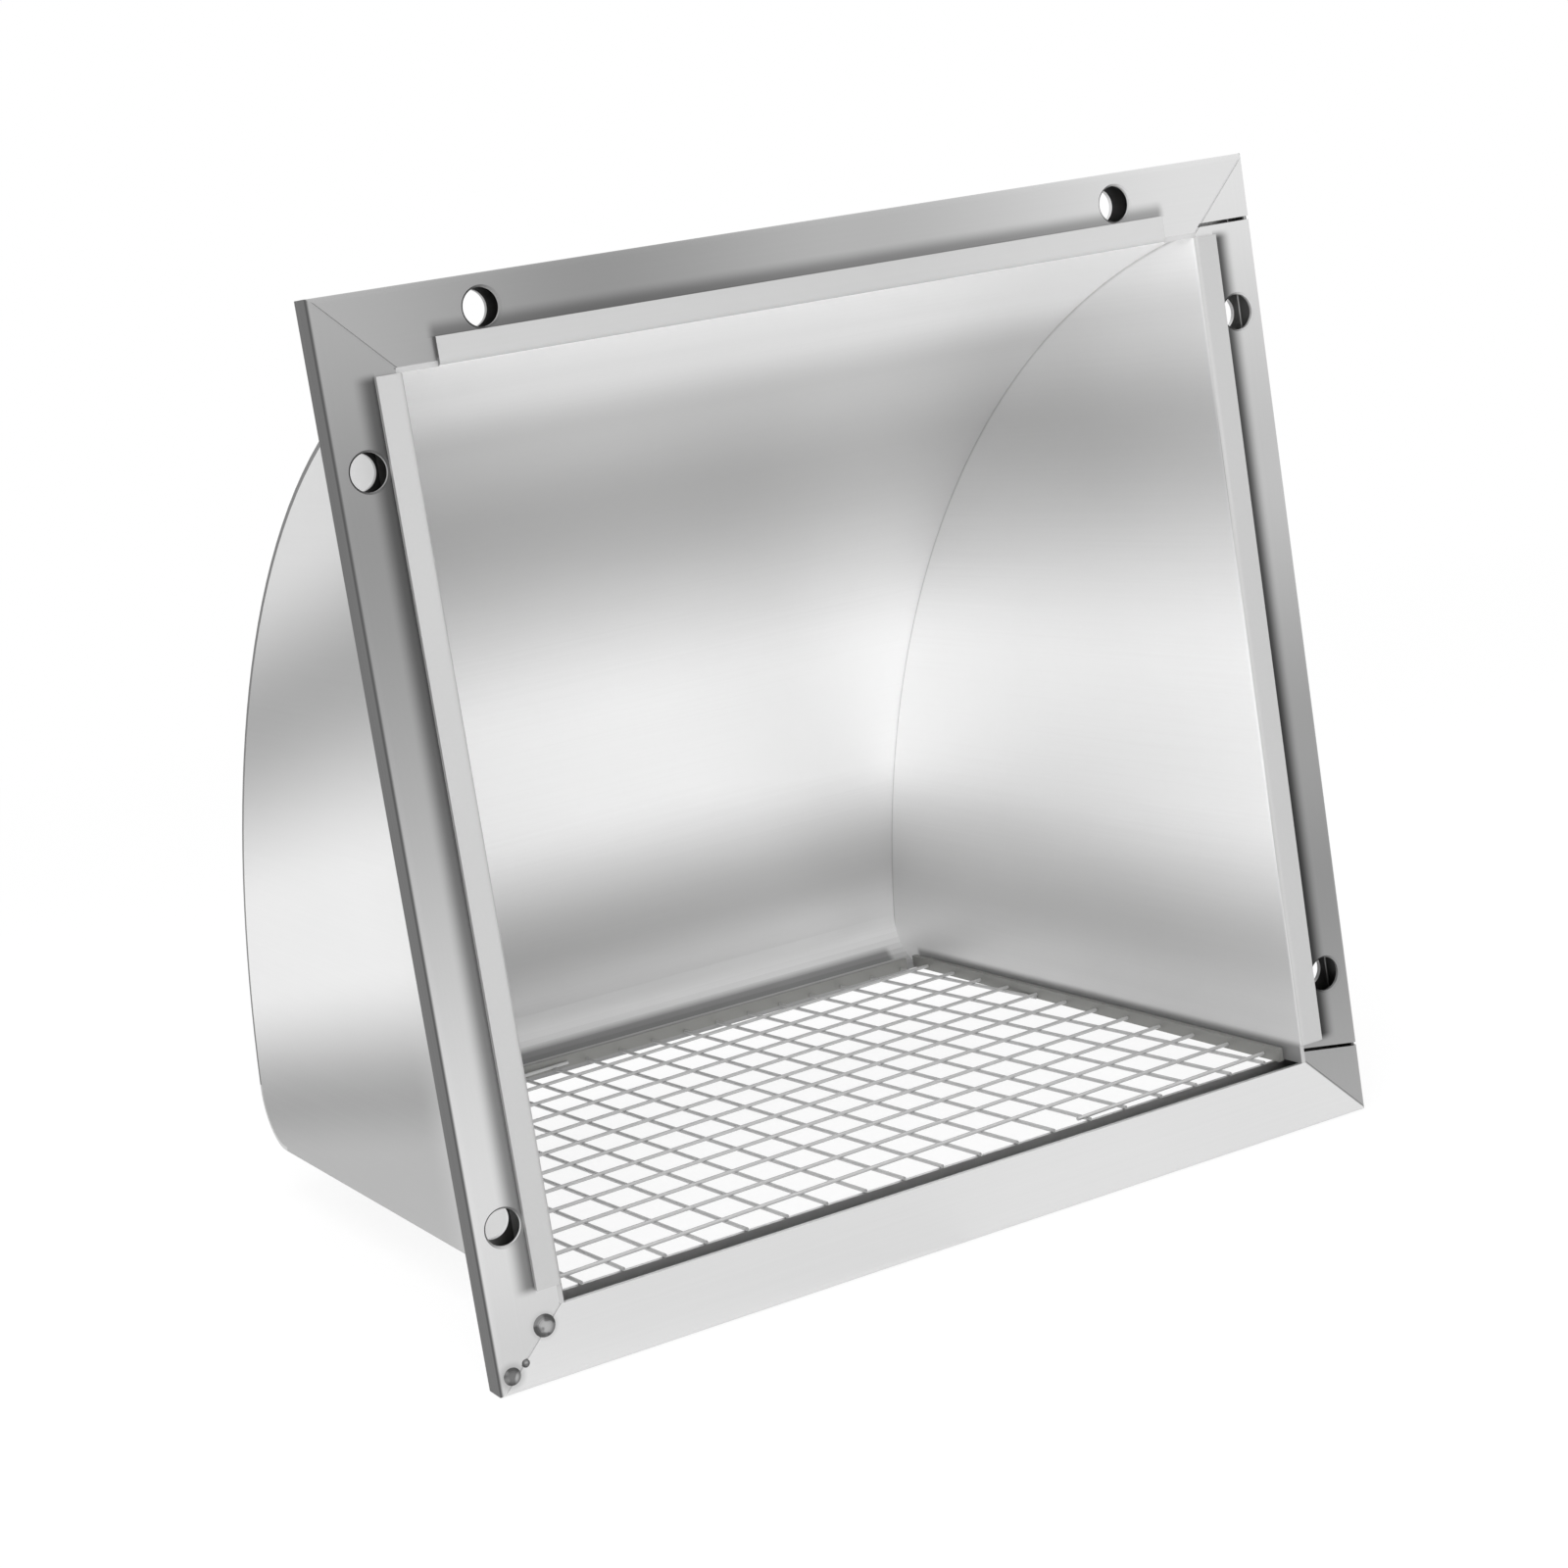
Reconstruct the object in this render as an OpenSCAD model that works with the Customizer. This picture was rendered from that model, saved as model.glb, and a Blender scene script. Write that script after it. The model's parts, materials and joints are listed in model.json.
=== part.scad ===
// Square weather hood for an outside wall, with a wire mesh across its open bottom.
// The wall side is the plane Y = 0 and the hood stands out towards -Y, with Z up.
// Left and right are as seen from outside, facing the hood: right is +X.

/* [Frame] */
// Outer width and height of the mounting frame
frame_size = 200; // [180:5:260]
// Clear width and height inside the frame
frame_opening = 172; // [156:1:174]
// Depth of the folded frame channel, from the wall forwards
frame_depth = 7.2; // [6:0.2:10]
// Outside radius of the frame's folded edges
frame_bend_r = 1.3; // [1.2:0.1:1.6]

/* [Screw holes] */
// Diameter of the screw holes
hole_d = 7; // [5:0.5:7.4]
// Distance of the side holes above and below the centre
side_hole_z = 69; // [40:1:74]
// Distance of the top holes left and right of the centre
top_hole_x = 68; // [40:1:74]
// Distance of every hole centre from the frame's outer edge
hole_inset = 6; // [5.5:0.1:6.5]

/* [Hood] */
// Thickness of all the sheet metal
sheet = 1; // [0.8:0.1:1.2]
// Depth of the hood from the wall to its front
hood_depth = 165; // [150:1:180]
// Outside radius of the rolled front sheet
roll_r = 200; // [190:5:240]
// Outside radius of the fold along the front's bottom edge
nose_r = 11; // [6:0.5:12]
// Width of the back edges that fold over the frame
back_lip = 4.2; // [2.5:0.1:4.2]

/* [Mesh] */
// Diameter of the mesh wires
wire_d = 0.8; // [0.6:0.1:1.4]
// Spacing of the wires that run from the wall to the front
wire_pitch_x = 8.8; // [8:0.1:14]
// Spacing of the wires that run across
wire_pitch_y = 12.4; // [8:0.1:16]
// How far the mesh is turned from square, seen from above, in degrees
mesh_turn = 4; // [1:0.5:8]
// Height of the flat strips that border the mesh
strip_h = 2.8; // [2:0.2:8]
// Thickness of these strips
strip_t = 1.2; // [0.8:0.1:2]

/* [Hidden] */
$fn = 48;

half = frame_size / 2;
opening = frame_opening / 2;
inside = opening - sheet;
past = 1;

// The back edges stop short of the corners, so that the folded sheets don't meet
top_lip_half = 78;
side_lip_top = inside;
side_lip_bottom = -82;

// Chamfer round the screw holes, on the wall side
hole_chamfer = 0.4;

// Narrow cuts across the wall-side leaf of the left frame member
cut_w = 0.7;
cut_depth = 1.5;
cut_top_z = 87.2;
cut_bottom_z = -83.2;
cut_bottom_tilt = 9;

// Width of the shallow groove that each mitred joint leaves on the frame's faces, and twice its depth
groove = 0.5;

// Weld beads on the bottom mitre at the right: distance from the frame's centre lines, radius, height
beads = [[89.6, 89, 2.2, 0.8], [97.4, 96.4, 1.7, 0.6], [94.4, 94.8, 0.8, 0.4]];

// Distance from the bottom frame member to the first wire that runs across, at the middle
wire_first = 10.5;
// Depth to which crossing wires are pressed into each other by their welds
weld_sink = 0.12 * wire_d;
// Gap between each end of the front strip and the cheek
front_strip_gap = 4.5;
// Gap between a side strip and its cheek, and where the strip ends at the wall side
side_strip_gap = 0.8;
side_strip_back = -5;

// Points and lengths in the hood's side view are [y, z]. The bottom edge is level.
bottom_z = -opening - sheet;
roll_top = [-frame_depth, opening];
nose_centre = [nose_r - hood_depth, bottom_z + nose_r];

// The roll passes through roll_top and runs into the nose fold without a crease.
// Its centre is roll_r from roll_top and roll_r - nose_r from the fold's centre.
chord = norm(roll_top - nose_centre);
chord_dir = (roll_top - nose_centre) / chord;
chord_part = (pow(roll_r - nose_r, 2) - pow(roll_r, 2) + pow(chord, 2)) / (2 * chord);
centre_offset = sqrt(pow(roll_r - nose_r, 2) - pow(chord_part, 2));
roll_centre = nose_centre + chord_part * chord_dir + centre_offset * [chord_dir[1], -chord_dir[0]];
nose_out = (nose_centre - roll_centre) / (roll_r - nose_r);

// The mesh lies level with the frame's opening, on the front sheet's folded edge, inside the strips
mesh_z = bottom_z + sheet;
front_strip_y = nose_r - hood_depth;
side_strip_x = inside - side_strip_gap - strip_t;
lip_end = front_strip_y + strip_t;

// The mesh's border: the inner faces of the strips and of the bottom frame member
mesh_low = [-side_strip_x, lip_end];
mesh_high = [side_strip_x, sheet - frame_depth];

// The hood's side outline, moved inwards by the given amount. Its back runs straight through the frame.
module hood_outline(inset) {
    far = 2 * hood_depth;
    down = [0, -far];
    bottom = bottom_z + inset;
    top = opening - inset;
    neck_y = roll_centre[0] - sqrt(pow(roll_r - inset, 2) - pow(top - roll_centre[1], 2));
    difference() {
        intersection() {
            translate(roll_centre) circle(r = roll_r - inset);
            polygon([[-frame_depth, bottom], [-frame_depth, 0], [neck_y, 0], [neck_y, far], [-far, far],
                     [-far, bottom]]);
        }
        polygon([nose_centre, nose_centre + far * nose_out, nose_centre + far * nose_out + down,
                 nose_centre + down]);
    }
    translate(nose_centre) circle(r = nose_r - inset);
    polygon([[-frame_depth, -opening], [0, -opening], [0, top], [neck_y, top], [-frame_depth, 0]]);
}

// Turns a side view, drawn as [y, z], into a solid between two X positions
module from_side(x_low, x_high) {
    translate([x_low, 0, 0]) rotate([90, 0, 90]) linear_extrude(height = x_high - x_low) children();
}

// An edge folded 90 degrees outwards over the frame. The fold turns about the origin, and the lip runs up.
module folded_lip() {
    intersection() {
        circle(r = sheet);
        translate([0, -sheet]) square([sheet, sheet]);
    }
    square([sheet, back_lip]);
}

// Cross-section of a frame member, with its mouth at x = opening and its wall side at y = 0
module channel_section() {
    difference() {
        rounded_end([opening, half], [-frame_depth, 0], frame_bend_r);
        rounded_end([opening - past, half - sheet], [sheet - frame_depth, -sheet], frame_bend_r - sheet);
    }
}

// A rectangle between two x and two y values, with both corners at its high x end rounded
module rounded_end(x_range, y_range, r) {
    width = x_range[1] - x_range[0];
    height = y_range[1] - y_range[0];
    translate([x_range[0], y_range[0]]) square([width - r, height]);
    translate([x_range[0], y_range[0] + r]) square([width, height - 2 * r]);
    for (y = [y_range[0] + r, y_range[1] - r]) translate([x_range[1] - r, y]) circle(r = r);
}

// One frame member, made as the right-hand one: a folded channel with both ends cut at 45 degrees
module frame_member() {
    intersection() {
        translate([0, 0, -half]) linear_extrude(height = frame_size) channel_section();
        union() {
            mitre_wedge(groove / 2, 3 * frame_depth);
            translate([0, -frame_depth / 2, 0]) mitre_wedge(0, frame_depth - groove);
        }
    }
}

// The right-hand quarter of the frame, drawn back from both mitres by the gap and cut to the depth
module mitre_wedge(gap, depth) {
    apex = gap * sqrt(2);
    rotate([90, 0, 0]) linear_extrude(height = depth, center = true)
        polygon([[apex, 0], [apex + frame_size, frame_size], [apex + frame_size, -frame_size]]);
}

// A screw hole through both leaves of a frame member, with its rim chamfered on the wall side
module screw_hole(x, z) {
    translate([x, 0, z]) rotate([90, 0, 0]) {
        translate([0, 0, -past]) cylinder(d = hole_d, h = frame_depth + 2 * past);
        cylinder(d1 = hole_d + 2 * hole_chamfer, d2 = hole_d, h = hole_chamfer);
    }
}

module frame_top() {
    color("silver") difference() {
        rotate([0, -90, 0]) frame_member();
        for (side = [-1, 1]) screw_hole(side * top_hole_x, half - hole_inset);
    }
}

module frame_bottom() {
    color("silver") rotate([0, 90, 0]) frame_member();
}

module frame_right() {
    color("darkgray") difference() {
        frame_member();
        for (side = [-1, 1]) screw_hole(half - hole_inset, side * side_hole_z);
    }
}

module frame_left() {
    color("darkgray") difference() {
        mirror([1, 0, 0]) frame_member();
        for (side = [-1, 1]) screw_hole(hole_inset - half, side * side_hole_z);
        frame_cut(cut_top_z, 0);
        frame_cut(cut_bottom_z, cut_bottom_tilt);
    }
}

// A narrow cut across the wall-side leaf of the left frame member
module frame_cut(z, tilt) {
    length = half - opening + 2 * past;
    translate([-opening + past, 0, z]) rotate([0, -tilt, 0])
        translate([-length, -cut_depth, -cut_w / 2]) cube([length, cut_depth + past, cut_w]);
}

module front_sheet() {
    color("gainsboro") union() {
        from_side(-opening, opening) difference() {
            hood_outline(0);
            hood_outline(sheet);
            translate([lip_end, bottom_z - past]) square([-frame_depth - lip_end + past, sheet + 2 * past]);
        }
        from_side(-top_lip_half, top_lip_half) translate([0, opening]) folded_lip();
    }
}

// The right-hand cheek: flat, inside the front sheet, with its back edge folded over the frame
module cheek() {
    from_side(inside, opening) {
        hood_outline(sheet);
        translate([lip_end, bottom_z]) square([-frame_depth - lip_end, sheet + past]);
    }
    translate([opening, 0, side_lip_bottom]) rotate([0, 0, 90]) mirror([0, 1, 0])
        linear_extrude(height = side_lip_top - side_lip_bottom) folded_lip();
}

module cheek_right() {
    color("lightgray") cheek();
}

module cheek_left() {
    color("lightgray") mirror([1, 0, 0]) cheek();
}

// Where a straight wire through a point meets the mesh's border on either side, as signed distances.
// Its thickness is taken off the border, so that its square-cut ends touch the border and don't pass it.
function reach(point, way) =
    let (
        edge = wire_d / 2 * [abs(way[1]), abs(way[0])],
        to_low = [for (k = [0, 1]) (mesh_low[k] + edge[k] - point[k]) / way[k]],
        to_high = [for (k = [0, 1]) (mesh_high[k] - edge[k] - point[k]) / way[k]]
    )
    [max([for (k = [0, 1]) min(to_low[k], to_high[k])]), min([for (k = [0, 1]) max(to_low[k], to_high[k])])];

// A row of parallel wires, spaced evenly from the crossing at the middle of the wall side
module wire_row(way, pitch, height) {
    aside = [-way[1], way[0]];
    count = ceil(hood_depth / pitch);
    for (k = [-count:count]) {
        point = [0, mesh_high[1] - wire_first] + k * pitch * aside;
        span = reach(point, way);
        start = point + span[0] * way;
        if (span[1] - span[0] > 2 * pitch)
            translate([start[0], start[1], height]) rotate([0, 0, atan2(way[1], way[0])]) rotate([0, 90, 0])
                cylinder(d = wire_d, h = span[1] - span[0]);
    }
}

// Welded wire, turned a little: the wires that run to the front lie below the ones that run across
module mesh_screen() {
    color("dimgray") translate([0, 0, mesh_z + wire_d / 2]) {
        wire_row([sin(mesh_turn), -cos(mesh_turn)], wire_pitch_x, 0);
        wire_row([cos(mesh_turn), sin(mesh_turn)], wire_pitch_y, wire_d - weld_sink);
    }
}

module mesh_strip_front() {
    end = inside - front_strip_gap;
    color("gray") translate([-end, front_strip_y, mesh_z]) cube([2 * end, strip_t, strip_h]);
}

// The strip beside the right-hand cheek, which the wires that run across are welded to
module side_strip() {
    translate([side_strip_x, front_strip_y, mesh_z])
        cube([strip_t, side_strip_back - front_strip_y, strip_h]);
}

module mesh_strip_right() {
    color("gray") side_strip();
}

module mesh_strip_left() {
    color("gray") mirror([1, 0, 0]) side_strip();
}

// A low domed weld bead that stands on the frame's wall side
module bead(r, height) {
    ball = (pow(r, 2) + pow(height, 2)) / (2 * height);
    rotate([-90, 0, 0]) rotate_extrude($fn = 96) intersection() {
        translate([0, height - ball]) circle(r = ball);
        square([r, height]);
    }
}

module corner_tack_welds() {
    color("dimgray") for (b = beads) translate([b[0], 0, -b[1]]) bead(b[2], b[3]);
}

frame_top();
frame_bottom();
frame_left();
frame_right();
front_sheet();
cheek_left();
cheek_right();
mesh_screen();
mesh_strip_front();
mesh_strip_left();
mesh_strip_right();
corner_tack_welds();
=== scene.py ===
"""A square weather hood of bright satin sheet metal, seen from its wall side on a white ground.

Objects are in metres, and sizes on the hood are in mm. The wall side is the plane y = 0, the hood stands out
towards -y, and z is up.
"""

import json
import math

import bpy
from mathutils import Matrix, Vector

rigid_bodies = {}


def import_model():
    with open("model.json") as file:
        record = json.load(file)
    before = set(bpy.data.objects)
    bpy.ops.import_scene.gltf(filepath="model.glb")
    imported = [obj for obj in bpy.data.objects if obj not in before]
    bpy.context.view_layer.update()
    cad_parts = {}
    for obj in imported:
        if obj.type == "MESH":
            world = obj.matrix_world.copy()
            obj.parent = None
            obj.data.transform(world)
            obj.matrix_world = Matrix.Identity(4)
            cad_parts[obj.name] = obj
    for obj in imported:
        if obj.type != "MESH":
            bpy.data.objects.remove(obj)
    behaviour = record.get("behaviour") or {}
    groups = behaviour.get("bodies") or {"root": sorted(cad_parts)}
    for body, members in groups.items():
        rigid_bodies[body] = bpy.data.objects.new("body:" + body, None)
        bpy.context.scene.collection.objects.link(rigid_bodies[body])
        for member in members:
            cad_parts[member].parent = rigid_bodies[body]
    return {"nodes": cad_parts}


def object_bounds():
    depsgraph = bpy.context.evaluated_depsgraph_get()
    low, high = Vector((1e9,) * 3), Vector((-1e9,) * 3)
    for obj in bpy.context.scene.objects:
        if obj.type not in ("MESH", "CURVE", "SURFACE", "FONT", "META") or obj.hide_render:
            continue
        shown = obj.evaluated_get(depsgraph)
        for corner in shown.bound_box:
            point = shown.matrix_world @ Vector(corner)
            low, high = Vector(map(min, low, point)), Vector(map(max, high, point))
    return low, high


for leftover in list(bpy.data.objects):
    bpy.data.objects.remove(leftover)

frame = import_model()
cad_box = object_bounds()

MM = 0.001

# The camera's place in metres, its direction in degrees, and its lens on a 36 mm sensor.
CAMERA_AT = (0.2755, 0.4932, 0.0945)
CAMERA_AZIMUTH = 154.02
CAMERA_ELEVATION = 8.83
CAMERA_ROLL = 9.18
CAMERA_LENS = 68.86
CAMERA_SHIFT = (0.04, -0.03)

# Soft lamps: name, place and size in metres, and power in watts.
LAMPS = (
    ("lamp_above", (0.3, 0.4, 1.4), 1.2, 11.5),
    ("lamp_opening", (0.5, 0.95, 0.3), 0.8, 10.7),
)
WHITE = (1, 1, 1, 1)
SURROUNDING_LIGHT = 0.7
FLOOR_HALF = 3
FLOOR_GAP = 0.2
FLOOR_COLOUR = (0.98, 0.98, 0.98, 1)
# The floor glows white by this share: under the hood and away from it, and where that changes, in metres.
FLOOR_GLOW = (0.85, 1.0)
FLOOR_GLOW_REACH = (0.35, 1.0)

# Where things are on the CAD parts, in mm. The roll's centre is y and z, and a bead's is x and z.
OPENING_HALF = 86
SHEET = 1
ROLL_CENTRE = (31.9, -110.1)
ROLL_INSIDE = 199
LIP_EDGE = 90.2
TOP_LIP_HALF = 78
SIDE_LIP_BOTTOM = -82
FRAME_HALF = 100
FRAME_DEPTH = 7.2
STRIP_TOP = -83.2
FRONT_STRIP_HALF = 80.5
SIDE_STRIP_FRONT = -154
LARGE_BEADS = ((89.6, -89), (97.4, -96.4))

# How bright the sheets look from top to bottom, as painted reflection bands: height in mm and displayed grey.
# Outside, the bands climb towards the frame by this share of the way.
OUTSIDE_REFLECTION_BANDS = (
    (100, 0.81), (68, 0.8), (40, 0.6), (-1, 0.88), (-18, 0.88), (-46, 0.58), (-58, 0.655), (-86, 0.675),
)
OUTSIDE_CLIMB = 0.2
ROLL_REFLECTION_BANDS = (
    (86, 1.0), (78, 0.95), (67, 0.8), (49, 0.715), (-5, 1.0), (-24, 1.0), (-60, 0.705), (-75, 0.845), (-86, 0.86),
)
CHEEK_REFLECTION_BANDS = (
    (86, 0.97), (70, 0.86), (49, 0.745), (-5, 1.0), (-31, 1.0), (-64, 0.75), (-76, 0.8), (-86, 0.86),
)
LIP_TONE = 0.695

# Painted reflections along the frame's members: position along the member in mm and displayed grey.
TOP_REFLECTION_TONES = ((100, 0.71), (45, 0.605), (-10, 0.725), (-90, 0.89), (-100, 0.89))
BOTTOM_TONES = ((100, 0.88), (-100, 0.88))
LEFT_REFLECTION_TONES = ((100, 0.9), (40, 0.77), (-20, 0.63), (-50, 0.585), (-100, 0.66))
RIGHT_REFLECTION_TONES = ((100, 0.7), (58, 0.605), (-70, 0.87), (-100, 0.82))
# Painted shade: the grey of the members' outer sides.
OUTER_SIDE_SHADE_TONE = 0.355

# Each member's node, the axis it runs along, its painted reflection tones, and the share of light that painted
# shade takes beside a side lip.
FRAME_MEMBERS = (
    ("frame_top", "x", TOP_REFLECTION_TONES, 0.7),
    ("frame_bottom", "x", BOTTOM_TONES, 0.7),
    ("frame_left", "z", LEFT_REFLECTION_TONES, 0.86),
    ("frame_right", "z", RIGHT_REFLECTION_TONES, 0.67),
)

# A painted highlight: a patch low down beside the frame, on the outside of the sheets, that looks brighter: y and
# z in mm.
PATCH_HIGHLIGHT_TONE = 0.83
PATCH_Y = (-58, -20)
PATCH_Z = (-28, -64)

# Light thrown back and forth in the hood's inner corners: where it starts and is full, in mm, and its share.
DEEP_Y = (-40, -120)
DEEP_HIGH_Z = (18, 50)
DEEP_HIGH_LIGHT = 0.3
DEEP_LOW_Z = (-40, -60)
DEEP_LOW_LIGHT = 0.15
CORNER_X = (-10, -OPENING_HALF)
CORNER_Z = (15, 48)
CORNER_LIGHT = 0.15

# Shade where pieces meet: where it starts and is full, in mm, and the share of light that it takes.
STRIP_SHADE_Z = (STRIP_TOP + 2.2, STRIP_TOP + 0.4)
STRIP_SHADE = 0.55
SEAM_RADIUS = (ROLL_INSIDE - 0.7, ROLL_INSIDE - 0.1)
SEAM_SHADE = 0.3
CUT_EDGE_BOTTOM = -73.2
CUT_EDGE_SHADE = 0.75
SIDE_LIP_SHADE_X = (LIP_EDGE + 4.5, LIP_EDGE + 0.9)
TOP_LIP_SHADE_Z = (LIP_EDGE + 3.4, LIP_EDGE + 0.6)
TOP_LIP_SHADE = 0.5
BEAD_SHADE_RADIUS = (3.2, 1.6)
BEAD_SHADE = 0.25
CHANNEL_SHADE = 0.85

# A face counts as facing an axis over the first value, and as square to it over the second.
FACING = 0.5
SQUARE_ON = 0.9

# Brush marks and cloudy patches, in cycles per metre along x, y and z, and how much they change the surface.
ALONG_X = (12, 1600, 1600)
ALONG_Y = (1600, 12, 1600)
ALONG_Z = (1600, 1600, 12)
WIRE_GRAIN = (300, 300, 300)
BEAD_GRAIN = (900, 900, 900)
SCORCH_SCALE = (520, 520, 520)
CLOUD_SCALE = (18, 18, 18)
MARK_CONTRAST = 0.06
CLOUD_CONTRAST = 0.05
ROUGHNESS_CONTRAST = 0.12
BUMP_STRENGTH = 0.3

STEEL = (1.0, 1.0, 1.0)
OLIVE_STEEL = (1.0, 1.0, 0.96)
WIRE_TONE = 0.75
STRIP_TONE = 0.565

# Weld beads: grey on top, painted shade on the slopes, and where on the slopes and in the noise the changes come.
BEAD_TOP_TONE = 0.68
BEAD_SLOPE_SHADE_TONE = 0.48
BEAD_SLOPE = (0.0, 0.15)
SCORCH_NOISE = (0.4, 0.56)
SCORCH_SHADE = 0.6


def linear(shade):
    """The linear value of a displayed grey between 0 and 1."""
    return ((shade + 0.055) / 1.055) ** 2.4


def add_node(tree, kind, inputs=None, **settings):
    """Adds a node. Its inputs are linked to sockets or set to values, by name or number."""
    node = tree.nodes.new(kind)
    for key, value in settings.items():
        setattr(node, key, value)
    for key, value in (inputs or {}).items():
        if isinstance(value, bpy.types.NodeSocket):
            tree.links.new(value, node.inputs[key])
        else:
            node.inputs[key].default_value = value
    return node


class Surface:
    """One procedural material. Its methods add nodes and return the socket that carries the result."""

    def __init__(self, name):
        self.material = bpy.data.materials.new(name)
        self.material.use_nodes = True
        self.tree = self.material.node_tree
        self.shader = self.tree.nodes["Principled BSDF"]
        self.place = self.add("ShaderNodeTexCoord").outputs["Object"]
        self.x, self.y, self.z = self.add("ShaderNodeSeparateXYZ", {0: self.place}).outputs
        facing = self.add("ShaderNodeNewGeometry").outputs["True Normal"]
        self.facing_x, self.facing_y, self.facing_z = self.add("ShaderNodeSeparateXYZ", {0: facing}).outputs
        self.wide = self.math("ABSOLUTE", self.x)

    def add(self, kind, inputs=None, **settings):
        return add_node(self.tree, kind, inputs, **settings)

    def math(self, operation, a, b=0.0, c=0.0):
        return self.add("ShaderNodeMath", {0: a, 1: b, 2: c}, operation=operation).outputs[0]

    def ease(self, value, start, end):
        """0 at start and 1 at end, with a soft change between them."""
        limits = {"Value": value, "From Min": start, "From Max": end}
        return self.add("ShaderNodeMapRange", limits, interpolation_type="SMOOTHSTEP").outputs["Result"]

    def fade(self, value, start, end):
        """The same for a length, with start and end in mm."""
        return self.ease(value, start * MM, end * MM)

    def step(self, value, edge):
        """1 where the value is over the edge, and 0 elsewhere."""
        return self.math("GREATER_THAN", value, edge)

    def mix(self, a, b, factor):
        """One grey where the factor is 0 and another where it is 1."""
        return self.add("ShaderNodeMix", {0: factor, 2: a, 3: b}, data_type="FLOAT").outputs[0]

    def both(self, *masks):
        """Where all the masks are."""
        joined = masks[0]
        for mask in masks[1:]:
            joined = self.math("MULTIPLY", joined, mask)
        return joined

    def distance(self, coordinates, centre):
        """How far a point is from a centre, which is in mm, in the plane of two coordinates."""
        apart = [self.math("SUBTRACT", value, middle * MM) for value, middle in zip(coordinates, centre)]
        squares = [self.math("MULTIPLY", length, length) for length in apart]
        return self.math("SQRT", self.math("ADD", *squares))

    def tones(self, value, stops):
        """The linear grey for a position, from (position in mm, displayed grey) pairs in any order."""
        stops = sorted(stops)
        low, high = stops[0][0], stops[-1][0]
        limits = {"Value": value, "From Min": low * MM, "From Max": high * MM}
        along = self.add("ShaderNodeMapRange", limits).outputs["Result"]
        ramp = self.add("ShaderNodeValToRGB", {0: along})
        points = ramp.color_ramp
        points.interpolation = "EASE"
        while len(points.elements) < len(stops):
            points.elements.new(0.5)
        for point, (position, shade) in zip(points.elements, stops):
            point.position = (position - low) / (high - low)
            point.color = (*[linear(shade)] * 3, 1)
        return ramp.outputs["Color"]

    def noise(self, scale, detail):
        """Noise between 0 and 1, with its own number of cycles per metre along x, y and z."""
        stretched = self.add("ShaderNodeVectorMath", {0: self.place, 1: scale}, operation="MULTIPLY")
        settings = {"Vector": stretched.outputs[0], "Scale": 1.0, "Detail": detail}
        return self.add("ShaderNodeTexNoise", settings).outputs["Fac"]

    def darker(self, value, mask, share):
        """The value, less a share of it where the mask is."""
        return self.math("MULTIPLY", value, self.math("MULTIPLY_ADD", mask, -share, 1.0))

    def lighter(self, value, mask, share):
        """The value, plus a share of it where the mask is, and 1 at most."""
        return self.math("MINIMUM", self.darker(value, mask, -share), 1.0)

    def varied(self, value, noise, contrast):
        """The value, changed up and down by a noise."""
        return self.math("MULTIPLY", value, self.math("MULTIPLY_ADD", noise, contrast, 1 - contrast / 2))

    def finish(self, value, grain, roughness, grain_depth, metallic, tint=STEEL):
        """Sets the shader from a grey, with fine brush marks along the grain and faint cloudy patches."""
        marks = self.noise(grain, 3.0)
        value = self.varied(value, marks, MARK_CONTRAST)
        value = self.varied(value, self.noise(CLOUD_SCALE, 2.0), CLOUD_CONTRAST)
        colour = self.add("ShaderNodeVectorMath", {0: tint, "Scale": value}, operation="SCALE").outputs[0]
        rough = self.math("MULTIPLY_ADD", marks, ROUGHNESS_CONTRAST, roughness - ROUGHNESS_CONTRAST / 2)
        relief = {"Height": marks, "Strength": BUMP_STRENGTH, "Distance": grain_depth}
        bump = self.add("ShaderNodeBump", relief).outputs[0]
        for socket, source in (("Base Color", colour), ("Roughness", rough), ("Normal", bump)):
            self.tree.links.new(source, self.shader.inputs[socket])
        self.shader.inputs["Metallic"].default_value = metallic
        return self.material


def sheet_reflection_bands(surface, inside, inside_bands):
    """The hood's sheets in painted reflection bands, with their own tones inside, and one even tone on the back
    lips.
    """
    climb = surface.math("MULTIPLY_ADD", surface.y, -OUTSIDE_CLIMB, surface.z)
    outer = surface.tones(climb, OUTSIDE_REFLECTION_BANDS)
    # Painted highlight: a brighter patch low down beside the frame, on the outside.
    patch = surface.both(surface.fade(surface.y, *PATCH_Y), surface.fade(surface.z, *PATCH_Z))
    outer = surface.mix(outer, linear(PATCH_HIGHLIGHT_TONE), patch)
    value = surface.mix(outer, surface.tones(surface.z, inside_bands), inside)
    outermost = surface.math("MAXIMUM", surface.wide, surface.z)
    on_lip = surface.both(
        surface.fade(surface.y, -0.4, 0),
        surface.math(
            "MAXIMUM",
            surface.step(surface.facing_y, FACING),
            surface.step(outermost, (OPENING_HALF + 0.5) * MM),
        ),
    )
    return surface.mix(value, linear(LIP_TONE), on_lip)


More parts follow.
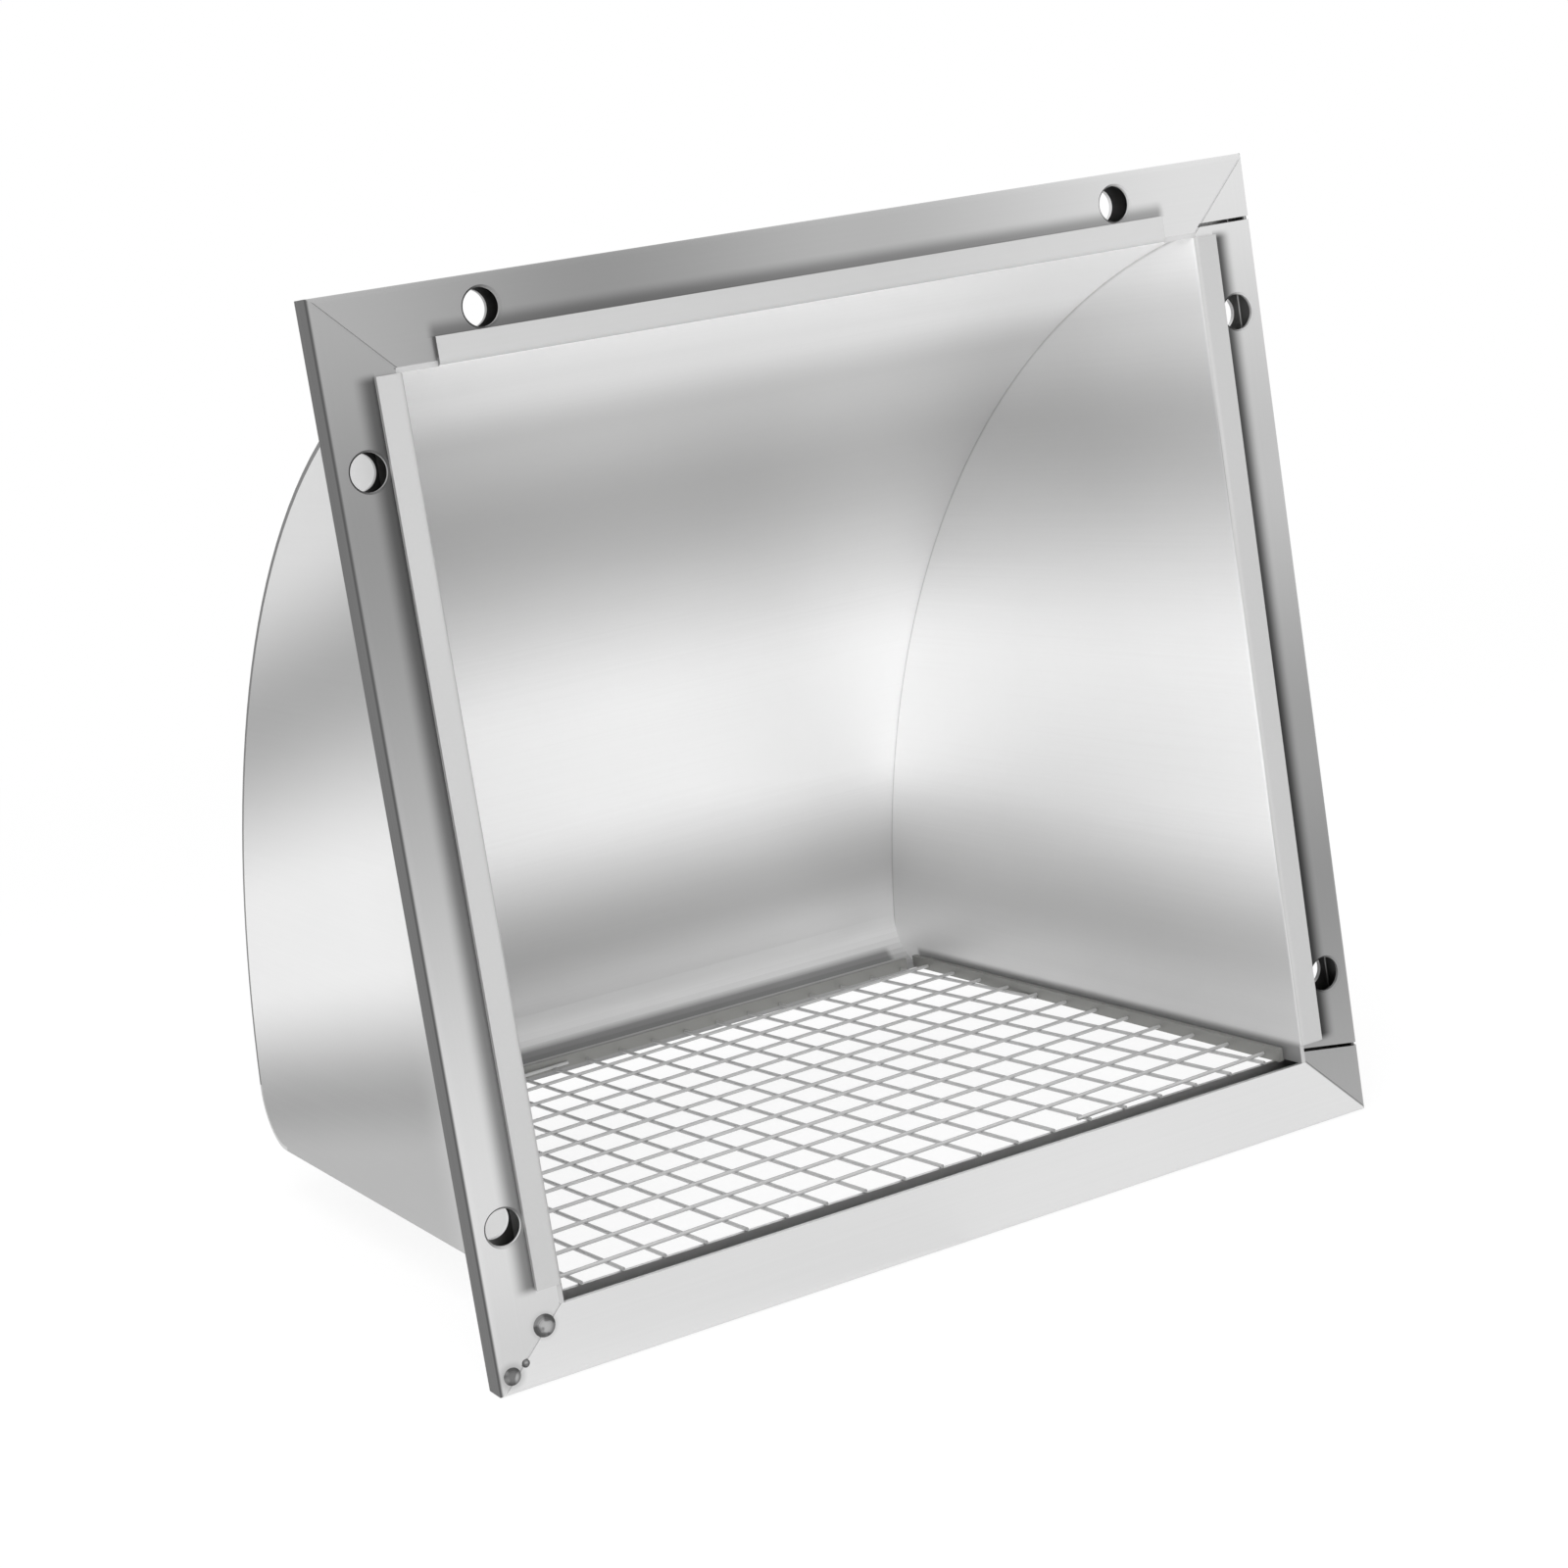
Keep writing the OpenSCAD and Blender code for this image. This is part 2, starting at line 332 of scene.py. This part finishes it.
def roll_surface():
    """The rolled sheet: its painted reflection bands, painted light in its corner, painted shade over the front
    strip, and dark cut edges.
    """
    surface = Surface("satin_roll")
    inward = surface.math("SUBTRACT", surface.facing_y, surface.facing_z)
    inside = surface.ease(inward, -SQUARE_ON, SQUARE_ON)
    value = sheet_reflection_bands(surface, inside, ROLL_REFLECTION_BANDS)
    off_middle = surface.fade(surface.math("ABSOLUTE", surface.z), *CORNER_Z)
    in_corner = surface.both(surface.fade(surface.x, *CORNER_X), off_middle, inside)
    value = surface.lighter(value, in_corner, CORNER_LIGHT)
    over_strip = surface.both(
        surface.fade(surface.z, *STRIP_SHADE_Z),
        surface.fade(surface.wide, FRONT_STRIP_HALF + 1, FRONT_STRIP_HALF - 1),
        surface.step(surface.facing_y, FACING),
    )
    value = surface.darker(value, over_strip, STRIP_SHADE)
    cut_edge = surface.both(
        surface.step(surface.math("ABSOLUTE", surface.facing_x), SQUARE_ON),
        surface.step(surface.z, CUT_EDGE_BOTTOM * MM),
    )
    value = surface.darker(value, cut_edge, CUT_EDGE_SHADE)
    return surface.finish(value, ALONG_X, roughness=0.45, grain_depth=0.00002, metallic=0.5)


def cheek_surface():
    """The flat sides: their painted reflection bands, painted light in the depth, shade along the roll's seam,
    and painted shade over the strip.
    """
    surface = Surface("satin_cheek")
    inner_face = OPENING_HALF - SHEET
    inside = surface.fade(surface.wide, inner_face + 0.1, inner_face + 0.05)
    value = sheet_reflection_bands(surface, inside, CHEEK_REFLECTION_BANDS)
    deep = surface.both(surface.fade(surface.y, *DEEP_Y), inside)
    for heights, light in ((DEEP_HIGH_Z, DEEP_HIGH_LIGHT), (DEEP_LOW_Z, DEEP_LOW_LIGHT)):
        value = surface.lighter(value, surface.both(deep, surface.fade(surface.z, *heights)), light)
    radius = surface.distance((surface.y, surface.z), ROLL_CENTRE)
    seam = surface.both(surface.fade(radius, *SEAM_RADIUS), inside)
    value = surface.darker(value, seam, SEAM_SHADE)
    over_strip = surface.both(
        surface.fade(surface.z, *STRIP_SHADE_Z),
        surface.fade(surface.y, SIDE_STRIP_FRONT - 1, SIDE_STRIP_FRONT + 1),
        inside,
    )
    value = surface.darker(value, over_strip, STRIP_SHADE)
    return surface.finish(value, ALONG_Y, roughness=0.45, grain_depth=0.00002, metallic=0.5)


def frame_surface(name, axis, stops, side_lip_shade):
    """A frame member: painted reflection tones along it, painted shade on its dark outer side, and painted shade
    beside the lips, round beads and within.
    """
    surface = Surface(name)
    value = surface.tones(getattr(surface, axis), stops)
    on_wall_side = surface.step(surface.facing_y, FACING)
    beside_side_lip = surface.both(
        surface.fade(surface.wide, *SIDE_LIP_SHADE_X),
        surface.step(surface.wide, (LIP_EDGE - 0.1) * MM),
        surface.fade(surface.z, SIDE_LIP_BOTTOM - 1, SIDE_LIP_BOTTOM + 1),
        surface.fade(surface.z, OPENING_HALF, OPENING_HALF - 2),
        on_wall_side,
    )
    value = surface.darker(value, beside_side_lip, side_lip_shade)
    above_top_lip = surface.both(
        surface.fade(surface.z, *TOP_LIP_SHADE_Z),
        surface.step(surface.z, (LIP_EDGE - 0.1) * MM),
        surface.fade(surface.wide, TOP_LIP_HALF + 1.5, TOP_LIP_HALF - 0.5),
        on_wall_side,
    )
    value = surface.darker(value, above_top_lip, TOP_LIP_SHADE)
    for bead in LARGE_BEADS:
        from_bead = surface.distance((surface.x, surface.z), bead)
        round_bead = surface.both(surface.fade(from_bead, *BEAD_SHADE_RADIUS), on_wall_side)
        value = surface.darker(value, round_bead, BEAD_SHADE)
    outermost = surface.math("MAXIMUM", surface.wide, surface.math("ABSOLUTE", surface.z))
    within_channel = surface.both(
        surface.fade(surface.y, -SHEET - 0.1, -SHEET - 0.4),
        surface.fade(surface.y, SHEET - FRAME_DEPTH + 0.1, SHEET - FRAME_DEPTH + 0.4),
        surface.fade(outermost, FRAME_HALF - 0.4, FRAME_HALF - 0.6),
    )
    value = surface.darker(value, within_channel, CHANNEL_SHADE)
    # Painted shade on the outer side.
    shaded_outer_side = surface.fade(surface.wide, FRAME_HALF - 0.5, FRAME_HALF - 0.1)
    value = surface.mix(value, linear(OUTER_SIDE_SHADE_TONE), shaded_outer_side)
    grain = {"x": ALONG_X, "z": ALONG_Z}[axis]
    return surface.finish(value, grain, roughness=0.38, grain_depth=0.00002, metallic=1.0)


def wire_surface(name, tone, tint=STEEL):
    """Dull wire, and the strips along it."""
    surface = Surface(name)
    grey = linear(tone)
    return surface.finish(grey, WIRE_GRAIN, roughness=0.5, grain_depth=0.00003, metallic=0.6, tint=tint)


def bead_surface():
    """A weld bead: dull, with painted shade on its slopes, and scorched in spots."""
    surface = Surface("weld_bead")
    # Painted shade: the slopes turn darker than the top.
    slope = surface.math("SUBTRACT", 1.0, surface.facing_y)
    value = surface.mix(linear(BEAD_TOP_TONE), linear(BEAD_SLOPE_SHADE_TONE), surface.ease(slope, *BEAD_SLOPE))
    scorched = surface.ease(surface.noise(SCORCH_SCALE, 1.0), *SCORCH_NOISE)
    value = surface.darker(value, scorched, SCORCH_SHADE)
    return surface.finish(value, BEAD_GRAIN, roughness=0.5, grain_depth=0.00008, metallic=0.8)


def dress(material, *nodes):
    """Puts a material on all of each node's surface."""
    for node in nodes:
        slots = frame["nodes"][node].data.materials
        for index in range(len(slots)):
            slots[index] = material


def seen_rays(tree):
    """A socket that is 1 for the camera's rays and for rays that metal or glass sends on, and 0 for the rest."""
    rays = add_node(tree, "ShaderNodeLightPath").outputs
    seen = rays["Is Camera Ray"]
    for name in ("Is Glossy Ray", "Is Transmission Ray"):
        seen = add_node(tree, "ShaderNodeMath", {0: seen, 1: rays[name]}, operation="MAXIMUM").outputs[0]
    return seen


def white_floor():
    """A floor that keeps the hood's soft shadow and turns fully white away from it, so no horizon shows."""
    corners = [(x * FLOOR_HALF, y * FLOOR_HALF, 0) for x, y in ((-1, -1), (1, -1), (1, 1), (-1, 1))]
    mesh = bpy.data.meshes.new("floor")
    mesh.from_pydata(corners, [], [(0, 1, 2, 3)])
    floor = bpy.data.objects.new("floor", mesh)
    floor.location.z = cad_box[0].z - FLOOR_GAP * MM
    bpy.context.scene.collection.objects.link(floor)

    material = bpy.data.materials.new("white_floor")
    material.use_nodes = True
    tree = material.node_tree
    tree.nodes.clear()
    place = add_node(tree, "ShaderNodeNewGeometry").outputs["Position"]
    away = add_node(tree, "ShaderNodeVectorMath", {0: place}, operation="LENGTH").outputs["Value"]
    limits = {"Value": away}
    limits["From Min"], limits["From Max"] = FLOOR_GLOW_REACH
    limits["To Min"], limits["To Max"] = FLOOR_GLOW
    glow = add_node(tree, "ShaderNodeMapRange", limits).outputs["Result"]
    share = add_node(tree, "ShaderNodeMath", {0: seen_rays(tree), 1: glow}, operation="MULTIPLY").outputs[0]
    plain = add_node(tree, "ShaderNodeBsdfDiffuse", {"Color": FLOOR_COLOUR}).outputs[0]
    bright = add_node(tree, "ShaderNodeEmission", {"Color": WHITE}).outputs[0]
    mixed = add_node(tree, "ShaderNodeMixShader", {"Fac": share, 1: plain, 2: bright}).outputs[0]
    add_node(tree, "ShaderNodeOutputMaterial", {"Surface": mixed})
    floor.data.materials.append(material)


def white_surroundings():
    """White wherever the camera or a reflection looks, and plain light of its own on what isn't metal."""
    world = bpy.data.worlds.new("studio")
    world.use_nodes = True
    tree = world.node_tree
    tree.nodes.clear()
    limits = {"Value": seen_rays(tree), "To Min": SURROUNDING_LIGHT, "To Max": 1.0}
    strength = add_node(tree, "ShaderNodeMapRange", limits).outputs["Result"]
    background = add_node(tree, "ShaderNodeBackground", {"Color": WHITE, "Strength": strength}).outputs[0]
    add_node(tree, "ShaderNodeOutputWorld", {"Surface": background})
    bpy.context.scene.world = world


def place_lamps():
    """Large soft lamps that aim at the hood and don't show in it."""
    for name, place, size, power in LAMPS:
        light = bpy.data.lights.new(name, "AREA")
        light.size = size
        light.energy = power
        lamp = bpy.data.objects.new(name, light)
        lamp.location = place
        lamp.rotation_mode = "QUATERNION"
        lamp.rotation_quaternion = (-Vector(place)).to_track_quat("-Z", "Y")
        lamp.visible_camera = False
        lamp.visible_glossy = False
        bpy.context.scene.collection.objects.link(lamp)


def place_camera():
    """The camera at the photograph's angle."""
    azimuth, elevation, roll = (math.radians(a) for a in (CAMERA_AZIMUTH, CAMERA_ELEVATION, CAMERA_ROLL))
    back = Vector((
        math.sin(azimuth) * math.cos(elevation),
        -math.cos(azimuth) * math.cos(elevation),
        math.sin(elevation),
    ))
    lens = bpy.data.cameras.new("camera")
    lens.lens = CAMERA_LENS
    lens.shift_x, lens.shift_y = CAMERA_SHIFT
    camera = bpy.data.objects.new("camera", lens)
    aim = (-back).to_track_quat("-Z", "Y").to_matrix()
    camera.matrix_world = Matrix.Translation(CAMERA_AT) @ (aim @ Matrix.Rotation(-roll, 3, "Z")).to_4x4()
    bpy.context.scene.collection.objects.link(camera)
    bpy.context.scene.camera = camera


dress(roll_surface(), "front_sheet")
dress(cheek_surface(), "cheek_left", "cheek_right")
for member, axis, stops, side_lip_shade in FRAME_MEMBERS:
    dress(frame_surface(member + "_face", axis, stops, side_lip_shade), member)
dress(wire_surface("mesh_wire", WIRE_TONE), "mesh_screen")
dress(
    wire_surface("mesh_strip", STRIP_TONE, OLIVE_STEEL),
    "mesh_strip_front", "mesh_strip_left", "mesh_strip_right",
)
dress(bead_surface(), "corner_tack_welds")

white_floor()
white_surroundings()
place_lamps()
place_camera()
bpy.context.scene.view_settings.view_transform = "Standard"
